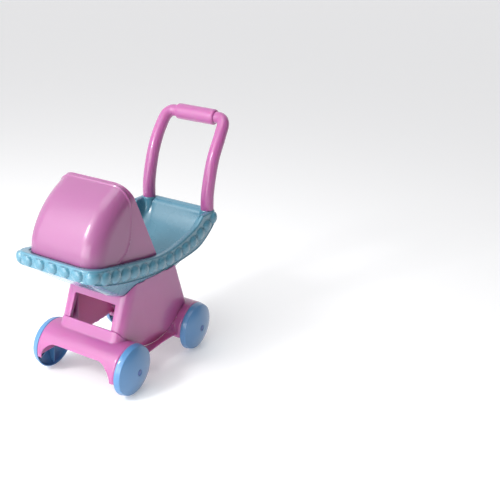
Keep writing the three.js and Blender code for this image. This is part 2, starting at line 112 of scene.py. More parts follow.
def make_object(name, points, faces):
    mesh = bpy.data.meshes.new(name)
    mesh.from_pydata(to_frame(points).tolist(), [], faces)
    mesh.validate()
    obj = bpy.data.objects.new(name, mesh)
    bpy.context.scene.collection.objects.link(obj)
    bm = bmesh.new()
    bm.from_mesh(mesh)
    bmesh.ops.remove_doubles(bm, verts=bm.verts, dist=1e-6)
    bmesh.ops.recalc_face_normals(bm, faces=bm.faces)
    bm.to_mesh(mesh)
    bm.free()
    return obj


def smooth(obj, angle=35):
    mesh = obj.data
    mesh.shade_smooth()
    mesh.set_sharp_from_angle(angle=math.radians(angle))
    return obj


def loft_data(rings, closed=False, ends="fan"):
    """Points and faces of a surface through rings of equal length."""
    rings = [np.asarray(r, float) for r in rings]
    n, rows = len(rings[0]), len(rings)
    points = np.concatenate(rings)
    faces = []
    for r in range(rows if closed else rows - 1):
        nxt = (r + 1) % rows
        for i in range(n):
            j = (i + 1) % n
            faces.append((r * n + i, r * n + j, nxt * n + j, nxt * n + i))
    if closed:
        return points, faces
    last = (rows - 1) * n
    if ends == "strip":
        for i in range(n // 2 - 1):
            j = n - 1 - i
            faces.append((i, j, j - 1, i + 1))
            faces.append((last + i, last + i + 1, last + j - 1, last + j))
        return points, faces
    for base in (0, last):
        points = np.vstack([points, rings[0 if base == 0 else -1].mean(0)])
        middle = len(points) - 1
        faces += [(middle, base + i, base + (i + 1) % n) for i in range(n)]
    return points, faces


def loft(name, rings, closed=False, ends="fan"):
    return make_object(name, *loft_data(rings, closed, ends))


def turned(name, outline, centre, side=1, segments=128):
    """A closed outline of (radius, distance outward) turned about an axis along X."""
    rings = []
    for k in range(segments):
        angle = 2 * math.pi * k / segments
        rings.append([(centre[0] + side * a, centre[1] + r * math.cos(angle), centre[2] + r * math.sin(angle))
                      for r, a in outline])
    return loft(name, rings, closed=True)


def turned_faces(count, segments):
    """Faces between the outlines of a turned shape that starts and ends on its axis."""
    faces = []
    for k in range(segments):
        here, there = k * count, (k + 1) % segments * count
        faces += [(here + i, here + i + 1, there + i + 1, there + i) for i in range(count - 1)]
    return faces


def curve_points(knots, steps):
    """A smooth centripetal curve through a few knots."""
    knots = [np.asarray(k, float) for k in knots]
    full = [2 * knots[0] - knots[1]] + knots + [2 * knots[-1] - knots[-2]]
    dense = []
    for p0, p1, p2, p3 in zip(full, full[1:], full[2:], full[3:]):
        t = np.cumsum([0.0] + [np.linalg.norm(b - a) ** 0.5 for a, b in ((p0, p1), (p1, p2), (p2, p3))])
        for s in np.linspace(t[1], t[2], 40, endpoint=False):
            a1 = ((t[1] - s) * p0 + (s - t[0]) * p1) / (t[1] - t[0])
            a2 = ((t[2] - s) * p1 + (s - t[1]) * p2) / (t[2] - t[1])
            a3 = ((t[3] - s) * p2 + (s - t[2]) * p3) / (t[3] - t[2])
            b1 = ((t[2] - s) * a1 + (s - t[0]) * a2) / (t[2] - t[0])
            b2 = ((t[3] - s) * a2 + (s - t[1]) * a3) / (t[3] - t[1])
            dense.append(((t[2] - s) * b1 + (s - t[1]) * b2) / (t[2] - t[1]))
    dense = np.array(dense + [knots[-1]])
    along = np.concatenate([[0], np.cumsum(np.linalg.norm(np.diff(dense, axis=0), axis=1))])
    wanted = np.linspace(0, along[-1], steps + 1)
    return np.stack([np.interp(wanted, along, dense[:, k]) for k in range(dense.shape[1])], 1)


def rounded_plan(half, front, rear, front_radius, rear_radius, spacing):
    """Rounded rectangle in plan, anticlockwise from the middle of the front, evenly spaced counts."""
    corner_steps, front_steps, side_steps, rear_steps = spacing
    points = []

    def line(a, b, steps):
        for i in range(steps):
            points.append((a[0] + (b[0] - a[0]) * i / steps, a[1] + (b[1] - a[1]) * i / steps))

    def corner(cx, cy, radius, start):
        for i in range(corner_steps):
            angle = start + math.pi / 2 * i / corner_steps
            points.append((cx + radius * math.cos(angle), cy + radius * math.sin(angle)))

    line((0, front), (half - front_radius, front), front_steps)
    corner(half - front_radius, front + front_radius, front_radius, -math.pi / 2)
    line((half, front + front_radius), (half, rear - rear_radius), side_steps)
    corner(half - rear_radius, rear - rear_radius, rear_radius, 0)
    line((half - rear_radius, rear), (-half + rear_radius, rear), rear_steps)
    corner(-half + rear_radius, rear - rear_radius, rear_radius, math.pi / 2)
    line((-half, rear - rear_radius), (-half, front + front_radius), side_steps)
    corner(-half + front_radius, front + front_radius, front_radius, math.pi)
    line((-half + front_radius, front), (0, front), front_steps)
    return np.array(points)


def with_modifier(obj, kind, **settings):
    modifier = obj.modifiers.new(kind.lower(), kind)
    for key, value in settings.items():
        setattr(modifier, key, value)
    evaluated = obj.evaluated_get(bpy.context.evaluated_depsgraph_get())
    mesh = bpy.data.meshes.new_from_object(evaluated)
    obj.modifiers.clear()
    old = obj.data
    obj.data = mesh
    mesh.name = obj.name
    bpy.data.meshes.remove(old)
    return obj


def combine(obj, other, operation):
    """Boolean of two closed meshes; the second one is used up."""
    with_modifier(obj, "BOOLEAN", operation=operation, object=other, solver="EXACT")
    mesh = other.data
    bpy.data.objects.remove(other)
    bpy.data.meshes.remove(mesh)
    return obj


def fillet(obj, voxel, passes):
    """Even remesh, then smoothing, so that every edge gets a small moulded radius."""
    with_modifier(obj, "REMESH", mode="VOXEL", voxel_size=voxel / 1000)
    with_modifier(obj, "SMOOTH", factor=0.5, iterations=passes)
    obj.data.shade_smooth()
    return obj


def cuboid(name, x0, x1, y0, y1, z0, z1):
    ring = [(x0, y0), (x1, y0), (x1, y1), (x0, y1)]
    return loft(name, [[(x, y, z) for x, y in ring] for z in (z0, z1)])


def rod_x(name, radius, x0, x1, y, z, segments=96):
    rings = []
    for x in (x0, x1):
        rings.append([(x, y + radius * math.cos(2 * math.pi * k / segments),
                       z + radius * math.sin(2 * math.pi * k / segments)) for k in range(segments)])
    return loft(name, rings)


def rod_z(name, radius, x, y, z0, z1, segments=48):
    rings = []
    for z in (z0, z1):
        rings.append([(x + radius * math.cos(2 * math.pi * k / segments),
                       y + radius * math.sin(2 * math.pi * k / segments), z) for k in range(segments)])
    return loft(name, rings)


def prism_y(name, outline, y0, y1):
    return loft(name, [[(x, y, z) for x, z in outline] for y in (y0, y1)])


def step(value, low, high):
    """Smooth 0 to 1 between two limits."""
    t = np.clip((np.asarray(value, float) - low) / (high - low), 0, 1)
    return t * t * (3 - 2 * t)


# ------------------------------------------------------------------ materials
def moulded(name, colour, roughness, glow_through=0.0):
    """Glossy injection-moulded plastic: faint colour drift, uneven gloss and a fine skin."""
    mottle, grain = 0.025, 0.03
    mat = bpy.data.materials.new(name)
    mat.use_nodes = True
    nodes, links = mat.node_tree.nodes, mat.node_tree.links
    shader = nodes["Principled BSDF"]
    place = nodes.new("ShaderNodeTexCoord")

    def noise(scale, detail, at):
        texture = nodes.new("ShaderNodeTexNoise")
        texture.inputs["Scale"].default_value = scale
        texture.inputs["Detail"].default_value = detail
        texture.location = at
        links.new(place.outputs["Object"], texture.inputs["Vector"])
        return texture

    drift = noise(9.0, 3.0, (-900, 300))
    mix = nodes.new("ShaderNodeMix")
    mix.data_type = "RGBA"
    mix.inputs["A"].default_value = (*[c * (1 - mottle) for c in colour], 1)
    mix.inputs["B"].default_value = (*[min(1, c * (1 + mottle)) for c in colour], 1)
    links.new(drift.outputs["Fac"], mix.inputs["Factor"])
    links.new(mix.outputs["Result"], shader.inputs["Base Color"])

    gloss = noise(38.0, 4.0, (-900, 0))
    span = nodes.new("ShaderNodeMapRange")
    span.inputs["To Min"].default_value = roughness * 0.82
    span.inputs["To Max"].default_value = roughness * 1.22
    links.new(gloss.outputs["Fac"], span.inputs["Value"])
    links.new(span.outputs["Result"], shader.inputs["Roughness"])

    skin = noise(620.0, 2.0, (-900, -300))
    flow = noise(24.0, 1.0, (-900, -600))
    fine = nodes.new("ShaderNodeBump")
    fine.inputs["Strength"].default_value = grain
    fine.inputs["Distance"].default_value = 0.0002
    links.new(skin.outputs["Fac"], fine.inputs["Height"])
    broad = nodes.new("ShaderNodeBump")
    broad.inputs["Strength"].default_value = 0.03
    broad.inputs["Distance"].default_value = 0.002
    links.new(flow.outputs["Fac"], broad.inputs["Height"])
    links.new(fine.outputs["Normal"], broad.inputs["Normal"])
    links.new(broad.outputs["Normal"], shader.inputs["Normal"])

    shader.inputs["IOR"].default_value = 1.5
    shader.inputs["Specular IOR Level"].default_value = 0.5
    shader.inputs["Subsurface Weight"].default_value = glow_through
    shader.inputs["Subsurface Radius"].default_value = (1.0, 0.2, 0.6)
    shader.inputs["Subsurface Scale"].default_value = 0.012
    shader.inputs["Coat Weight"].default_value = 0.55
    shader.inputs["Coat Roughness"].default_value = 0.12
    return mat


def zinc(name):
    """Zinc-plated steel with drawn lines along the rod and small dull patches."""
    mat = bpy.data.materials.new(name)
    mat.use_nodes = True
    nodes, links = mat.node_tree.nodes, mat.node_tree.links
    shader = nodes["Principled BSDF"]
    place = nodes.new("ShaderNodeTexCoord")
    stretch = nodes.new("ShaderNodeMapping")
    stretch.inputs["Scale"].default_value = (40, 900, 900)
    links.new(place.outputs["Object"], stretch.inputs["Vector"])
    lines = nodes.new("ShaderNodeTexNoise")
    lines.inputs["Scale"].default_value = 1.0
    lines.inputs["Detail"].default_value = 3.0
    links.new(stretch.outputs["Vector"], lines.inputs["Vector"])
    ramp = nodes.new("ShaderNodeValToRGB")
    ramp.color_ramp.elements[0].color = (0.36, 0.37, 0.39, 1)
    ramp.color_ramp.elements[1].color = (0.68, 0.69, 0.71, 1)
    links.new(lines.outputs["Fac"], ramp.inputs["Fac"])
    links.new(ramp.outputs["Color"], shader.inputs["Base Color"])
    bump = nodes.new("ShaderNodeBump")
    bump.inputs["Strength"].default_value = 0.15
    bump.inputs["Distance"].default_value = 0.0001
    links.new(lines.outputs["Fac"], bump.inputs["Height"])
    links.new(bump.outputs["Normal"], shader.inputs["Normal"])
    shader.inputs["Metallic"].default_value = 1.0
    shader.inputs["Roughness"].default_value = 0.34
    return mat


PINK = moulded("pink_plastic", (0.29, 0.092, 0.225), 0.36, glow_through=0.25)
DEEP_PINK = moulded("deep_pink_plastic", (0.40, 0.105, 0.295), 0.36, glow_through=0.6)
BLUE = moulded("tray_plastic", (0.08, 0.235, 0.325), 0.27)
WHEEL_BLUE = moulded("wheel_plastic", (0.08, 0.23, 0.46), 0.36)
CAP_BLUE = moulded("cap_plastic", (0.03, 0.10, 0.34), 0.34)
STEEL = zinc("zinc_steel")


def finish_piece(obj, material, body, slot, *nodes):
    obj.data.materials.clear()
    obj.data.materials.append(material)
    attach(obj, body)
    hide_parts(*nodes)
    return obj


# ------------------------------------------------------------------ wheels
WHEEL_IN = 97.0
CAP_R = 6.2
CAP_FACE = [(0.0, 22.0), (5.8, 22.0), (CAP_R, 22.4), (CAP_R, 23.6), (5.9, 24.1), (4.9, 24.3), (4.6, 23.9),
            (3.0, 24.35), (1.5, 24.6), (0.0, 24.7)]
WHEEL_RIBS = 6
RIB_HALF = 0.9
SHOULDER_R = 48.8
SHOULDER_ARC = 2.4


def wheel_face(r):
    """Distance of the domed face from the wheel's open edge, at radius r."""
    return WHEEL_TIP - 0.1 - WHEEL_IN - 12.0 * (r / 50.0) ** 2


def wheel_outline():
    recess = CAP_R + GAP
    outer = [(2.8, 19.0), (recess, 19.0), (recess, wheel_face(recess) - 0.8)]
    outer += [(recess + 0.9, wheel_face(recess + 0.9))]
    outer += [(r, wheel_face(r)) for r in np.linspace(9, 44, 15)]
    top = wheel_face(SHOULDER_R)
    outer += [(47.0, wheel_face(47.0)), (SHOULDER_R, top - 0.1)]
    outer += [(SHOULDER_R + SHOULDER_ARC * math.sin(a), top - SHOULDER_ARC * (1 - math.cos(a)) - 0.2)
              for a in np.linspace(0.2, 1.35, 8)]
    outer += [(52.6, 6.0), (53.5, 1.6)]
    edge = [(53.3, 0.5), (52.7, 0.0), (51.4, 0.0), (50.9, 0.5)]
    bend = [(50.7, 1.5), (49.9, 7.5), (48.0, 10.3), (44.0, wheel_face(44) - 2.8)]
    inner = [tuple(p) for p in curve_points(bend, 12)]
    inner += [(r, wheel_face(r) - 2.7) for r in np.linspace(42, 13, 12)]
    inner += [(10.0, 20.6), (9.2, 18.8), (8.4, 6.0), (8.0, -0.7), (7.6, -1.1), (2.8, -1.1)]
    return outer + edge + inner


def wheel_cap(name, body, side, y):
    """The small stepped cap in the middle of the wheel, solid to its axis."""
    segments, count = 64, len(CAP_FACE)
    rings = []
    for k in range(segments):
        angle = 2 * math.pi * k / segments
        rings.append([(side * (WHEEL_IN + a), y + r * math.cos(angle), WHEEL_R + r * math.sin(angle))
                      for r, a in CAP_FACE])
    points = np.array(rings).reshape(-1, 3)
    cap = smooth(make_object(f"moulded_cap_{name}", points, turned_faces(count, segments)), 40)
    return finish_piece(cap, CAP_BLUE, body, "cap_plastic", f"hub_cap_{name}")


def wheel(end, side_name, side):
    y = 0.0 if end == "front" else WHEELBASE
    name = f"{end}_{side_name}"
    body = f"wheel_{name}_body"
    disc = smooth(turned(f"moulded_wheel_{name}", wheel_outline(), (side * WHEEL_IN, y, WHEEL_R), side), 30)
    # ribs brace the web behind the face
    for k in range(WHEEL_RIBS):
        angle = 2 * math.pi * (k + 0.5) / WHEEL_RIBS
        rib = [(8.5, 3.0), (8.5, 20.5), (44.0, 13.5), (50.0, 5.0), (48.5, 3.2)]
        rings = []
        for half in (-RIB_HALF, RIB_HALF):
            rings.append([(side * (WHEEL_IN + a), y + r * math.cos(angle) - half * math.sin(angle),
                           WHEEL_R + r * math.sin(angle) + half * math.cos(angle)) for r, a in rib])
        combine(disc, loft("rib", rings), "UNION")
    smooth(disc, 30)
    finish_piece(disc, WHEEL_BLUE, body, "blue_plastic", f"wheel_{name}")
    wheel_cap(name, body, side, y)


# ------------------------------------------------------------------ handle
ARM_SEGMENTS = 48
ARM_FOOT = SOCKET_TOP + 0.4
ARM_R, ARM_TAPER = 14.5, 1.5
PEG_SHARE = 0.62
PEG_DEPTH = 20


def arm(side, side_name):
    knots = [(ARM_X, ARM_Y, ARM_FOOT), (ARM_X, 300, 340), (ARM_X, 316, 412), (ARM_X - 0.2, 341, 459),
             (73.5, 359.5, 485), (64, 366.5, 492.5), (GRIP_HALF - 1.5, GRIP_Y, GRIP_Z)]
    path = curve_points([(side * x, y, z) for x, y, z in knots], 72)
    path[0] = (side * ARM_X, ARM_Y, ARM_FOOT)
    tangents = np.gradient(path, axis=0)
    tangents /= np.linalg.norm(tangents, axis=1)[:, None]
    normal = np.array([0.0, 1.0, 0.0])
    rings = []
    for i, (at, along) in enumerate(zip(path, tangents)):
        normal = normal - along * normal.dot(along)
        normal /= np.linalg.norm(normal)
        across = np.cross(along, normal)
        radius = ARM_R - ARM_TAPER * i / (len(path) - 1)
        angles = np.linspace(0, 2 * math.pi, ARM_SEGMENTS, endpoint=False)
        rings.append(at + radius * (np.cos(angles)[:, None] * normal + np.sin(angles)[:, None] * across))
    rings[0][:, 2] = ARM_FOOT
    # a thinner peg below the tube goes down into the tray's socket
    peg_plan = rings[0][:, :2] * PEG_SHARE + (1 - PEG_SHARE) * path[0][:2]
    peg = [np.column_stack([peg_plan, np.full(ARM_SEGMENTS, z)]) for z in (SOCKET_TOP - PEG_DEPTH, ARM_FOOT)]
    obj = smooth(loft(f"handle_tube_{side_name}", peg + rings), 40)
    return finish_piece(obj, DEEP_PINK, "root", "pink_plastic", f"handle_arm_{side_name}")


def grip():
    half = GRIP_HALF
    outline = [(0, -half), (13.2, -half), (14.2, -half + 0.3), (15.6, -half + 1.2), (16.8, -half + 2.8),
               (17.35, -half + 4.6), (GRIP_R, -half + 6.6), (GRIP_R, -half + 12)]
    outline += [(GRIP_R, a) for a in np.linspace(-half + 18, half - 18, 12)]
    outline += [(r, -a) for r, a in reversed(outline[:8])]
    count, segments = len(outline), 96
    points = []
    for k in range(segments):
        angle = 2 * math.pi * k / segments
        points += [(a, GRIP_Y + r * math.cos(angle), GRIP_Z + r * math.sin(angle)) for r, a in outline]
    obj = smooth(make_object("handle_sleeve", points, turned_faces(count, segments)), 40)
    return finish_piece(obj, DEEP_PINK, "root", "pink_plastic", "handle_grip")


# ------------------------------------------------------------------ hood
HOOD_KNOTS = [(-90, 292), (-85, 322), (-64.5, 361), (-31.5, 395.5), (14.6, 425)]
HOOD_CORNER = 36.0
HOOD_RIDGE = [(5.0, 428), (9.4, 420), (12.2, 408), (16, 388), (19, 358), (17, 329), (12, 311), (2, 296),
              (-13, 287), (-24, 281)]
HOOD_START = 5.0
RIDGE_LIFT, RIDGE_HALF = 1.7, 1.8
PANEL_DEPTH = 1.2
OPENING_LEAN = 1.81           # how steeply the rear opening climbs


def near_curve(points, curve):
    """Least distance in the plane from each point to a finely stepped curve."""
    best = np.full(len(points), 1e9)
    for at in curve:
        best = np.minimum(best, np.hypot(points[:, 0] - at[0], points[:, 1] - at[1]))
    return best


def hood_arch(at, wall):
    away = np.array(at) - HOOD_PIVOT
    height = np.linalg.norm(away) - wall
    away = away / np.linalg.norm(away)
    half, radius = HOOD_HALF - 0.1 - wall, HOOD_CORNER - wall
    side = [(half, h) for h in np.linspace(HOOD_START, height - radius, 60, endpoint=False)]
    turn = [(half - radius + radius * math.cos(a), height - radius + radius * math.sin(a))
            for a in np.linspace(0, math.pi / 2, 26)]
    top = [(x, height) for x in np.linspace(half - radius, 0, 14)[1:]]
    outline = side + turn + top
    outline += [(-x, h) for x, h in reversed(outline[:-1])]
    return np.array([(x, HOOD_PIVOT[0] + away[0] * h, HOOD_PIVOT[1] + away[1] * h) for x, h in outline])


def hood():
    profile = curve_points(HOOD_KNOTS, 150)
    ridge = curve_points(HOOD_RIDGE, 260)
    outer = [hood_arch(at, 0.0) for at in profile]
    inner = [hood_arch(at, HOOD_WALL) for at in profile]
    grid = np.array(outer)
    du = np.gradient(grid, axis=1)
    dt = np.gradient(grid, axis=0)
    normals = np.cross(du, dt)
    normals /= np.linalg.norm(normals, axis=2)[..., None] + 1e-9
    centre = np.array([0, 0, 330.0])
    if ((grid - centre) * normals).sum() < 0:
        normals = -normals
    flat = grid.reshape(-1, 3)
    distance = near_curve(flat[:, 1:], ridge).reshape(grid.shape[:2])
    # in front of the ridge the shell stands a little prouder than the flat rear panel
    upward = HOOD_RIDGE[::-1]
    behind = np.interp(grid[..., 2], [p[1] for p in upward], [p[0] for p in upward])
    panel = step(grid[..., 1] - behind, 0.5, 4.0) * step(np.abs(grid[..., 0]), HOOD_HALF - 20, HOOD_HALF - 2)
    lift = RIDGE_LIFT * np.exp(-(distance / RIDGE_HALF) ** 2) - PANEL_DEPTH * panel
    grid = grid + normals * lift[..., None]
    rings = [np.vstack([out, back[::-1]]) for out, back in zip(grid, inner)]
    # the edge of the rear opening is rounded over
    edge = rings[-1].copy()
    middle = (grid[-1] + inner[-1]) / 2
    slope = math.atan2(1, OPENING_LEAN)
    lean = np.array([0, math.cos(slope), math.sin(slope)]) * 0.7
    soft = np.vstack([middle + (grid[-1] - middle) * 0.55, (middle + (inner[-1] - middle) * 0.55)[::-1]])
    soft += lean
    rings += [edge + lean * 0.35, soft]
    obj = smooth(loft("moulded_hood", rings, ends="strip"), 50)
    return finish_piece(obj, PINK, "root", "pink_plastic", "hood")


# ------------------------------------------------------------------ tray
FINE = (34, 48, 270, 110)
FLOOR_PLAN = dict(half=64.0, front=14.0, rear=192.0, radius=26.0)


def rim_low(y):
    return 226 + 0.00072 * (y - 141) ** 2 + 0.005 * np.maximum(0, y - 230) ** 2


def rim_high(y):
    y = np.asarray(y, float)
    front = 259 + np.hypot(0.17 * (y - 110), 3)
    rear = np.minimum(262 + 0.0016 * (y - 115) ** 2 + 0.012 * np.maximum(0, y - 232) ** 2, SOCKET_TOP)
    return np.where(y < 110, front, rear)


def hood_seat(y):
    return 1.5 * np.clip((116 - np.asarray(y, float)) / 10, 0, 1)


def rim_ring(inset, height, spacing=FINE, rear=None, rear_radius=None, front_radius=None):
    rear = RIM_REAR - inset if rear is None else rear
    rear_radius = max(6, REAR_CORNER - inset) if rear_radius is None else rear_radius
    front_radius = max(12, RIM_CORNER - inset) if front_radius is None else front_radius
    plan = rounded_plan(RIM_HALF - inset, RIM_FRONT + inset, rear, front_radius, rear_radius, spacing)
    return np.column_stack([plan, height(plan[:, 1])])


def bowl_rows(top, lift, inset, spacing, rows):
    """From the rim's ring down the bowl's wall and over its floor to a small ring at the middle."""
    f = FLOOR_PLAN
    floor = rounded_plan(f["half"] - inset, f["front"] + inset, f["rear"] - inset, f["radius"], f["radius"],
                         spacing)
    middle = np.array([0, (f["front"] + f["rear"]) / 2])
    result = []
    for t in np.linspace(0, 1, rows):
        z = top[:, 2] + (BOWL_FLOOR + lift - top[:, 2]) * t * (1.25 - 0.25 * t)
        result.append(np.column_stack([top[:, :2] + (floor - top[:, :2]) * t, z]))
    for t in np.linspace(0, 1, 14)[1:]:
        flat = floor + (middle - floor) * t * 0.93
        result.append(np.column_stack([flat, np.full(len(flat), BOWL_FLOOR + lift)]))
    result = np.array(result)
    for _ in range(10):
        result[1:-1] = 0.25 * result[:-2] + 0.5 * result[1:-1] + 0.25 * result[2:]
    return list(result)


def bead_lift(rows, plan):
    """How far each point of the rim's face stands out: half-round beads and a thin lip below them."""
    normal = np.roll(plan, -1, 0) - np.roll(plan, 1, 0)
    normal = np.column_stack([normal[:, 1], -normal[:, 0]])
    normal /= np.linalg.norm(normal, axis=1)[:, None]
    low, high = rim_low(plan[:, 1]), rim_high(plan[:, 1])
    middle = np.column_stack([plan, (low + high) / 2])
    gaps = np.linalg.norm(np.roll(middle, -1, 0) - middle, axis=1)
    along = np.concatenate([[0], np.cumsum(gaps)[:-1]])
    total = gaps.sum()
    flat_gap = np.linalg.norm(np.roll(plan, -1, 0) - plan, axis=1)
    climb = np.arctan2(np.roll(middle[:, 2], -1) - middle[:, 2], flat_gap)
    count = int(round(total / BEAD_PITCH))
    pitch = total / count
    for row in rows:
        drop = row[:, 2] - middle[:, 2]
        place = along + drop * np.sin(climb)
        off = (place + pitch / 2) % pitch - pitch / 2
        radius = np.minimum(BEAD_R, (high - low) / 2 - 1)
        reach = (off ** 2 + (drop * np.cos(climb)) ** 2) / radius ** 2
        dome = (BEAD_OUT + 1.0) * np.sqrt(np.clip(1 - reach, 0, 1))
        lip = 1.4 * np.exp(-((row[:, 2] - low - 1.4) / 1.1) ** 2)
        row[:, :2] += normal * np.maximum(dome, lip)[:, None]
    return rows


def shoulder_ring(angle):
    """The rounded edge where the rim turns down into the bowl: small at the sides, broad at the rear."""
    def height(y):
        depth = 2.5 + 12 * step(y, 250, 292)
        return rim_high(y) - 1.0 - hood_seat(y) - depth * (1 - math.cos(angle))
    rear = SHOULDER_REAR - (SHOULDER_REAR - MOUTH_REAR) * math.sin(angle)
    return rim_ring(RIM_WALL + 0.3 + 3.7 * math.sin(angle), height, rear=rear,
                    rear_radius=20 - 2 * math.sin(angle), front_radius=MOUTH_CORNER)


def soften(rings, first, passes):
    """Rounds the profile from one ring on, leaving the two ends where they are."""
    stack = np.array(rings[first:])
    for _ in range(passes):
        stack[1:-1] = 0.25 * stack[:-2] + 0.5 * stack[1:-1] + 0.25 * stack[2:]
    return rings[:first] + list(stack)


def mouth_edge():
    """The small rounding where the flat top of the rim meets the mouth of the bowl."""
    steps = [(-1.2, lambda y: rim_high(y), 1.0, 21),
             (-0.4, lambda y: rim_high(y) - 0.3, 0.4, 20.4),
             (0.0, lambda y: rim_high(y) - 0.9 - 0.3 * hood_seat(y), 0.0, 20),
             (0.2, lambda y: rim_high(y) - 1.0 - hood_seat(y), -0.2, 20)]
    return [rim_ring(RIM_WALL + inset, height, rear=SHOULDER_REAR + back, rear_radius=radius,
                     front_radius=MOUTH_CORNER) for inset, height, back, radius in steps]


def tray_rings():
    top_outside = rim_ring(10, lambda y: rim_low(y) + 1, rear=BOWL_REAR, rear_radius=24)
    rings = bowl_rows(top_outside, 0, 0, FINE, 16)[::-1]
    rings += [rim_ring(5, lambda y: rim_low(y) + 1), rim_ring(1.6, lambda y: rim_low(y) + 0.5),
              rim_ring(0.5, lambda y: rim_low(y) + 0.1)]
    face = []
    for t in np.linspace(0, 1, 34):
        face.append(rim_ring(0, lambda y, t=t: rim_low(y) + 0.3 + (rim_high(y) - 4.3 - rim_low(y)) * t))
    rings += bead_lift(face, face[0][:, :2].copy())
    for angle in np.linspace(0, math.pi / 2, 7)[1:]:
        inset = 4 - 4 * math.cos(angle)
        rings.append(rim_ring(inset, lambda y, a=angle: rim_high(y) - 4 + 4 * math.sin(a)))
    rings.append(rim_ring(6, rim_high))
    rings += mouth_edge()
    for angle in np.linspace(0, math.pi / 2, 12)[1:]:
        rings.append(shoulder_ring(angle))
    upper_at = len(rings) - 2
    upper = rings[-1]
    inside = rim_ring(RIM_WALL + 4.6, lambda y: rim_low(y) + 8, rear=MOUTH_REAR - 6, rear_radius=24,
                      front_radius=MOUTH_CORNER)
    for t in np.linspace(0, 1, 9)[1:-1]:
        rings.append(upper + (inside - upper) * t)
    rings += bowl_rows(inside, BOWL_WALL, BOWL_WALL, FINE, 22)
    return soften(rings, upper_at, 60)


def socket_cone(side):
    """The boss in the tray's rear corner that the handle arm stands in."""
    angles = np.linspace(0, 2 * math.pi, 64, endpoint=False)

    def ring(x, y, z, radius):
        return np.column_stack([side * x + radius * np.cos(angles), y + radius * np.sin(angles),
                                np.full(len(angles), z)])

    knots = [(76, 272, 246, 3.5), (76.2, 285, 262, 10.5), (ARM_X - 1, ARM_Y - 4, 279, 15.2),
             (ARM_X, ARM_Y, 298, 16.4), (ARM_X, ARM_Y, SOCKET_TOP - 0.8, 16.4),
             (ARM_X, ARM_Y, SOCKET_TOP, 15.6)]
    return loft("socket", [ring(*p) for p in curve_points(knots, 40)])


BOSS_PLACES = [(-40, 36), (40, 36), (-40, 160), (40, 160)]
SHELF_TOP = 183.0
PILOT_R = 2.3


def tray():
    obj = loft("moulded_tray", tray_rings())
    for side in (-1, 1):
        combine(obj, socket_cone(side), "UNION")
        combine(obj, rod_z("bore", 9.6, side * ARM_X, ARM_Y, 281, 320), "DIFFERENCE")
        combine(obj, rod_z("screw_well", 5.0, side * ARM_X, ARM_Y, 238, 277), "DIFFERENCE")
        combine(obj, rod_z("screw_hole", PILOT_R, side * ARM_X, ARM_Y, 270, 284), "DIFFERENCE")
    pocket = cuboid("pocket", -52, 52, MOUTH_REAR + 6.5, RIM_REAR - 4, 236, SOCKET_TOP - 7)
    combine(obj, pocket, "DIFFERENCE")
    for x, y in BOSS_PLACES:
        combine(obj, rod_z("boss", 5.0, x, y, SHELF_TOP + GAP, BOWL_FLOOR + 1), "UNION")
        combine(obj, rod_z("boss_hole", PILOT_R, x, y, SHELF_TOP - 1, BOWL_FLOOR - 0.5), "DIFFERENCE")
    smooth(obj, 38)
    return finish_piece(obj, BLUE, "root", "blue_plastic", "tray")


# ------------------------------------------------------------------ upper body
def front_plane(z):
    return -4.5 + 0.35 * (z - 125.6)


def rear_wall(z):
    return 185 + 0.434 * (220 - z)


COARSE = (14, 1, 18, 2)
TOWER_FRONT_CORNER, TOWER_REAR_CORNER = 22, 14


def tower(name, low, high, inset, ahead=0.0):
    """The body's tapering block between two heights; its sides swell by one millimetre."""
    rings = []
    for z in np.linspace(low, high, 24):
        plan = rounded_plan(BODY_HALF - 1 - inset, front_plane(z) + inset - ahead, rear_wall(z) - inset,
                            TOWER_FRONT_CORNER - inset, TOWER_REAR_CORNER - inset, COARSE)
        span = plan[:, 1].max() - plan[:, 1].min()
        swell = np.sin(np.pi * np.clip((plan[:, 1] - plan[:, 1].min()) / span, 0, 1))
        plan[:, 0] += np.sign(plan[:, 0]) * swell * (np.abs(plan[:, 0]) > BODY_HALF * 0.7)
        rings.append(np.column_stack([plan, np.full(len(plan), z)]))
    return loft(name, rings)


def tray_seat():
    """The tray's outer shape as one filled block, grown by the joint gap."""
    spacing = (14, 8, 60, 16)
    top = rim_ring(10 - GAP, lambda y: rim_low(y) + 1 - GAP, spacing, rear=BOWL_REAR + GAP, rear_radius=24)
    rings = bowl_rows(top, -GAP, -GAP, spacing, 16)[::-1]
    rings += [rim_ring(-GAP, lambda y: rim_low(y) - GAP, spacing),
              rim_ring(-GAP, lambda y: rim_high(y) + 40, spacing)]
    return loft("seat", rings)


COLUMNS = [(32.0, 79.0), (166.0, 62.0)]
COLUMN_X = 66.0
LUG_T = 3.5
SCREW_R = 2.25
WINDOW = [(-52.8, 90), (52.8, 90), (50.1, 175.3), (-50.1, 175.3)]


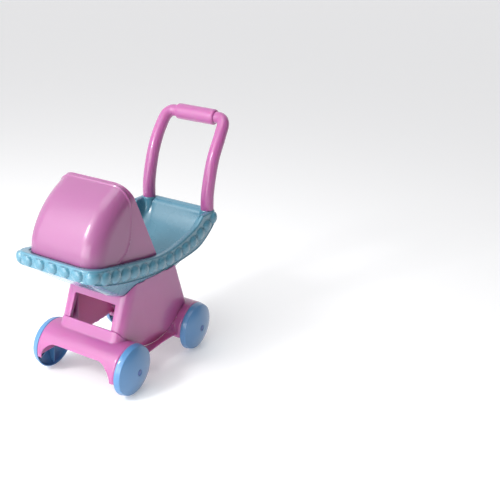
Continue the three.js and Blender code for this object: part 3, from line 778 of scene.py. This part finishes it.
def upper_body():
    obj = tower("moulded_body", 55, 232, 0)
    combine(obj, tower("hollow", 50, 240, SHELL), "DIFFERENCE")
    frame_block = tower("frame_block", 98, 206, 0.2)
    behind = loft("behind", [[(x, front_plane(z) + 9.5 + dy, z) for x, dy in
                              ((-90, 0), (90, 0), (90, 200), (-90, 200))] for z in (80, 220)])
    combine(frame_block, behind, "DIFFERENCE")
    combine(obj, frame_block, "UNION")
    for y0, y1 in ((6, 50), (144, 190)):
        shelf = cuboid("shelf", -78, 78, y0, y1, SHELF_TOP - 3, SHELF_TOP)
        combine(shelf, tower("clip", 150, 220, 0.4), "INTERSECT")
        combine(obj, shelf, "UNION")
    combine(obj, rod_x("seam", SEAM_R + SEAM_LAP, -100, 100, SEAM_Y, SEAM_Z, 256), "INTERSECT")
    for side in (-1, 1):
        for y, lug in COLUMNS:
            bottom = lug + LUG_T + GAP
            column = rod_z("column", 5.5, side * COLUMN_X, y, bottom, 206)
            rib = cuboid("rib", *sorted((side * COLUMN_X, side * 79)), y - 5, y + 1.5, bottom + 12, 204)
            combine(rib, tower("clip", 50, 220, 0.4), "INTERSECT")
            combine(column, rib, "UNION")
            combine(obj, column, "UNION")
    combine(obj, prism_y("window", WINDOW, -40, 60), "DIFFERENCE")
    combine(obj, tray_seat(), "DIFFERENCE")
    fillet(obj, 1.25, 5)
    for side in (-1, 1):
        for y, lug in COLUMNS:
            bottom = lug + LUG_T + GAP
            combine(obj, rod_z("hole", SCREW_R, side * COLUMN_X, y, bottom - 2, bottom + 14), "DIFFERENCE")
    for x, y in BOSS_PLACES:
        combine(obj, rod_z("hole", SCREW_R, x, y, SHELF_TOP - 10, SHELF_TOP + 5), "DIFFERENCE")
    smooth(obj, 60)
    return finish_piece(obj, DEEP_PINK, "root", "pink_plastic", "upper_body")


# ------------------------------------------------------------------ lower base
HOUSING_BOTTOM = 43.0
HOUSING_ROUND = 6.5
SILL_STEP = 2.5
BORE_R = 2.85
ROUND_STEPS = 160


def doorway(half, top, radius):
    """Outline of the round-topped opening in the outer face of an axle housing."""
    outline = [(-half, 0), (half, 0)]
    for start, cx in ((0, half - radius), (math.pi / 2, -half + radius)):
        for angle in np.linspace(start, start + math.pi / 2, 20):
            outline.append((cx + radius * math.cos(angle), top - radius + radius * math.sin(angle)))
    return outline


def housing(y, end):
    """A hollow drum round an axle with rounded ends; end is -1 for the front one and 1 for the rear one."""
    rings = []
    corners = [(-HOUSING_HALF + HOUSING_ROUND * (1 - math.sin(a)),
                HOUSING_R - HOUSING_ROUND * (1 - math.cos(a))) for a in np.linspace(math.pi / 2, 0, 9)]
    for x, radius in corners + [(-x, radius) for x, radius in reversed(corners)]:
        angles = np.linspace(0, 2 * math.pi, ROUND_STEPS, endpoint=False)
        rings.append(np.column_stack([np.full(ROUND_STEPS, x), y + radius * np.cos(angles),
                                      WHEEL_R + radius * np.sin(angles)]))
    shell = loft("housing", rings)
    inner_half = HOUSING_HALF - SHELL
    combine(shell, rod_x("inside", HOUSING_R - SHELL, -inner_half, inner_half, y, WHEEL_R, ROUND_STEPS),
            "DIFFERENCE")
    y0, y1 = (y - 70, y - 5) if end < 0 else (y + 5, y + 70)
    return combine(shell, prism_y("doorway", doorway(86, 80, 36), y0, y1), "DIFFERENCE")


def skirt(side):
    """The flared wall between the two wheels, from the body's round seam down to an arched edge."""
    rings = []
    for y in np.linspace(38, 196, 60):
        high = SEAM_Z - math.sqrt(SEAM_R ** 2 - (y - SEAM_Y) ** 2)
        low = ARCH_Z + math.sqrt(ARCH_R ** 2 - (y - ARCH_Y) ** 2)
        outer, inner = [], []
        half = SKIRT_HALF + SKIRT_FLARE * max(0, 1 - ((y - ARCH_Y) / 60) ** 2)
        for t in np.linspace(0, 1, 8):
            flare = t ** 1.3
            z = high + (low - high) * t
            outer.append((side * (BODY_HALF + (half - BODY_HALF) * flare), y, z))
            inner.append((side * (BODY_HALF - SHELL + (half - 1 - BODY_HALF + SHELL) * flare), y, z - SHELL))
        rings.append(outer + inner[::-1])
    return loft("skirt", rings, ends="strip")


def lower_base():
    obj = housing(0, -1)
    obj.name = "moulded_base"
    combine(obj, housing(WHEELBASE, 1), "UNION")
    for side in (-1, 1):
        combine(obj, skirt(side), "UNION")
    inner = BODY_HALF - SHELL - 0.7
    combine(obj, cuboid("hollow", -inner, inner, 12, 212, -5, 117), "DIFFERENCE")
    sill = tower("sill", 98, SILL_TOP, 0, SILL_STEP)
    combine(sill, tower("sill_inside", 90, SILL_TOP - SHELL, SHELL, SILL_STEP), "DIFFERENCE")
    combine(sill, cuboid("front_part", -82, 82, -40, 17, 90, 130), "INTERSECT")
    combine(obj, sill, "UNION")
    collar = tower("collar", 94, 119, 0)
    combine(collar, tower("collar_inside", 90, 125, SHELL), "DIFFERENCE")
    combine(collar, cuboid("rear_part", -82, 82, 203, 260, 90, 130), "INTERSECT")
    combine(obj, collar, "UNION")
    seam_half = BODY_HALF + GAP + 0.4
    combine(obj, rod_x("seam", SEAM_R - SEAM_LAP, -seam_half, seam_half, SEAM_Y, SEAM_Z, 256), "DIFFERENCE")
    combine(obj, cuboid("below", -130, 130, -90, 330, -20, HOUSING_BOTTOM), "DIFFERENCE")
    for side in (-1, 1):
        for y, lug in COLUMNS:
            outer = HOUSING_HALF - 2 if y < 100 else BODY_HALF + 3
            x0, x1 = sorted((side * (COLUMN_X - 8), side * outer))
            combine(obj, cuboid("lug", x0, x1, y - 7, y + 7, lug, lug + LUG_T), "UNION")
    fillet(obj, 1.25, 5)
    for side in (-1, 1):
        for y, lug in COLUMNS:
            combine(obj, rod_z("hole", SCREW_R, side * COLUMN_X, y, lug - 2, lug + LUG_T + 2), "DIFFERENCE")
    for y in (0, WHEELBASE):
        combine(obj, rod_x("bore", BORE_R, -110, 110, y, WHEEL_R, 32), "DIFFERENCE")
    smooth(obj, 60)
    return finish_piece(obj, DEEP_PINK, "root", "pink_plastic", "lower_base")


# ------------------------------------------------------------------ camera, floor and light
CAMERA_AZIMUTH = 37.32
CAMERA_ELEVATION = 23.82
CAMERA_DISTANCE = 1571.28
CAMERA_TARGET = (0.0, 115.0, 190.0)
CAMERA_LENS = 53.22
LOOK_ASIDE = (-0.1670, -0.03417)      # where the target sits from the middle of the view, as tangents


def camera():
    azimuth, elevation = math.radians(CAMERA_AZIMUTH), math.radians(CAMERA_ELEVATION)
    back = Vector((math.sin(azimuth) * math.cos(elevation), -math.cos(azimuth) * math.cos(elevation),
                   math.sin(elevation)))
    target = Vector(to_frame([CAMERA_TARGET])[0])
    data = bpy.data.cameras.new("camera")
    data.lens = CAMERA_LENS
    data.sensor_width = 36
    obj = bpy.data.objects.new("camera", data)
    bpy.context.scene.collection.objects.link(obj)
    obj.rotation_mode = "QUATERNION"
    obj.location = target + back * CAMERA_DISTANCE / 1000
    aside = Vector((*LOOK_ASIDE, -1)).normalized()
    turn = Vector((0, 0, -1)).rotation_difference(aside)
    obj.rotation_quaternion = (-back).to_track_quat("-Z", "Y") @ turn.inverted()
    bpy.context.scene.camera = obj
    return obj


def softbox(name, azimuth, elevation, distance, size, power, colour=(1, 1, 1)):
    """An area light that looks at the middle of the object. Azimuth 0 is straight in front."""
    azimuth, elevation = math.radians(azimuth), math.radians(elevation)
    away = Vector((math.sin(azimuth) * math.cos(elevation), -math.cos(azimuth) * math.cos(elevation),
                   math.sin(elevation)))
    data = bpy.data.lights.new(name, "AREA")
    data.shape = "RECTANGLE"
    data.size, data.size_y = size
    data.energy = power
    data.color = colour
    obj = bpy.data.objects.new(name, data)
    bpy.context.scene.collection.objects.link(obj)
    obj.location = Vector((0, 0, 0.25)) + away * distance
    obj.rotation_mode = "QUATERNION"
    obj.rotation_quaternion = (-away).to_track_quat("-Z", "Y")
    return obj


WORLD_LEFT = 1.0
WORLD_RIGHT = 0.14
FLOOR_GLOW = 0.21


def studio():
    world = bpy.data.worlds.new("studio")
    world.use_nodes = True
    nodes, links = world.node_tree.nodes, world.node_tree.links
    sky = nodes["Background"]
    place = nodes.new("ShaderNodeTexCoord")
    split = nodes.new("ShaderNodeSeparateXYZ")
    fade = nodes.new("ShaderNodeMapRange")
    fade.interpolation_type = "SMOOTHSTEP"
    fade.inputs["From Min"].default_value = -0.35
    fade.inputs["From Max"].default_value = 0.65
    fade.inputs["To Min"].default_value = WORLD_LEFT
    fade.inputs["To Max"].default_value = WORLD_RIGHT
    links.new(place.outputs["Generated"], split.inputs["Vector"])
    links.new(split.outputs["X"], fade.inputs["Value"])
    links.new(fade.outputs["Result"], sky.inputs["Strength"])
    sky.inputs["Color"].default_value = (0.98, 0.98, 1.0, 1)
    bpy.context.scene.world = world
    softbox("key", -24, 26, 1.5, (1.2, 1.8), 12, (0.97, 0.98, 1.0))
    softbox("top", -10, 82, 1.4, (0.9, 0.9), 6)
    softbox("low", 6, 8, 1.5, (1.1, 0.7), 10)
    softbox("window", -20, 36, 1.6, (0.26, 0.34), 12)
    bpy.context.scene.view_settings.view_transform = "Standard"
    reach = 40e3
    floor = make_object("floor", [(x, y, 0) for x, y in ((-reach, -reach), (reach, -reach), (reach, reach),
                                                         (-reach, reach))], [(0, 1, 2, 3)])
    mat = bpy.data.materials.new("floor_white")
    mat.use_nodes = True
    shader = mat.node_tree.nodes["Principled BSDF"]
    shader.inputs["Base Color"].default_value = (0.86, 0.86, 0.86, 1)
    shader.inputs["Roughness"].default_value = 0.8
    shader.inputs["Specular IOR Level"].default_value = 0.2
    shader.inputs["Emission Color"].default_value = (1, 1, 1, 1)
    shader.inputs["Emission Strength"].default_value = FLOOR_GLOW
    floor.data.materials.append(mat)


# ------------------------------------------------------------------ everything
camera()
for end_name in ("front", "rear"):
    wheel(end_name, "left", -1)
    wheel(end_name, "right", 1)
arm(-1, "left")
arm(1, "right")
grip()
hood()
tray()
upper_body()
lower_base()
for node_name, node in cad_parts.items():
    if not node.hide_render:
        node.data.materials.clear()
        node.data.materials.append(STEEL)
studio()
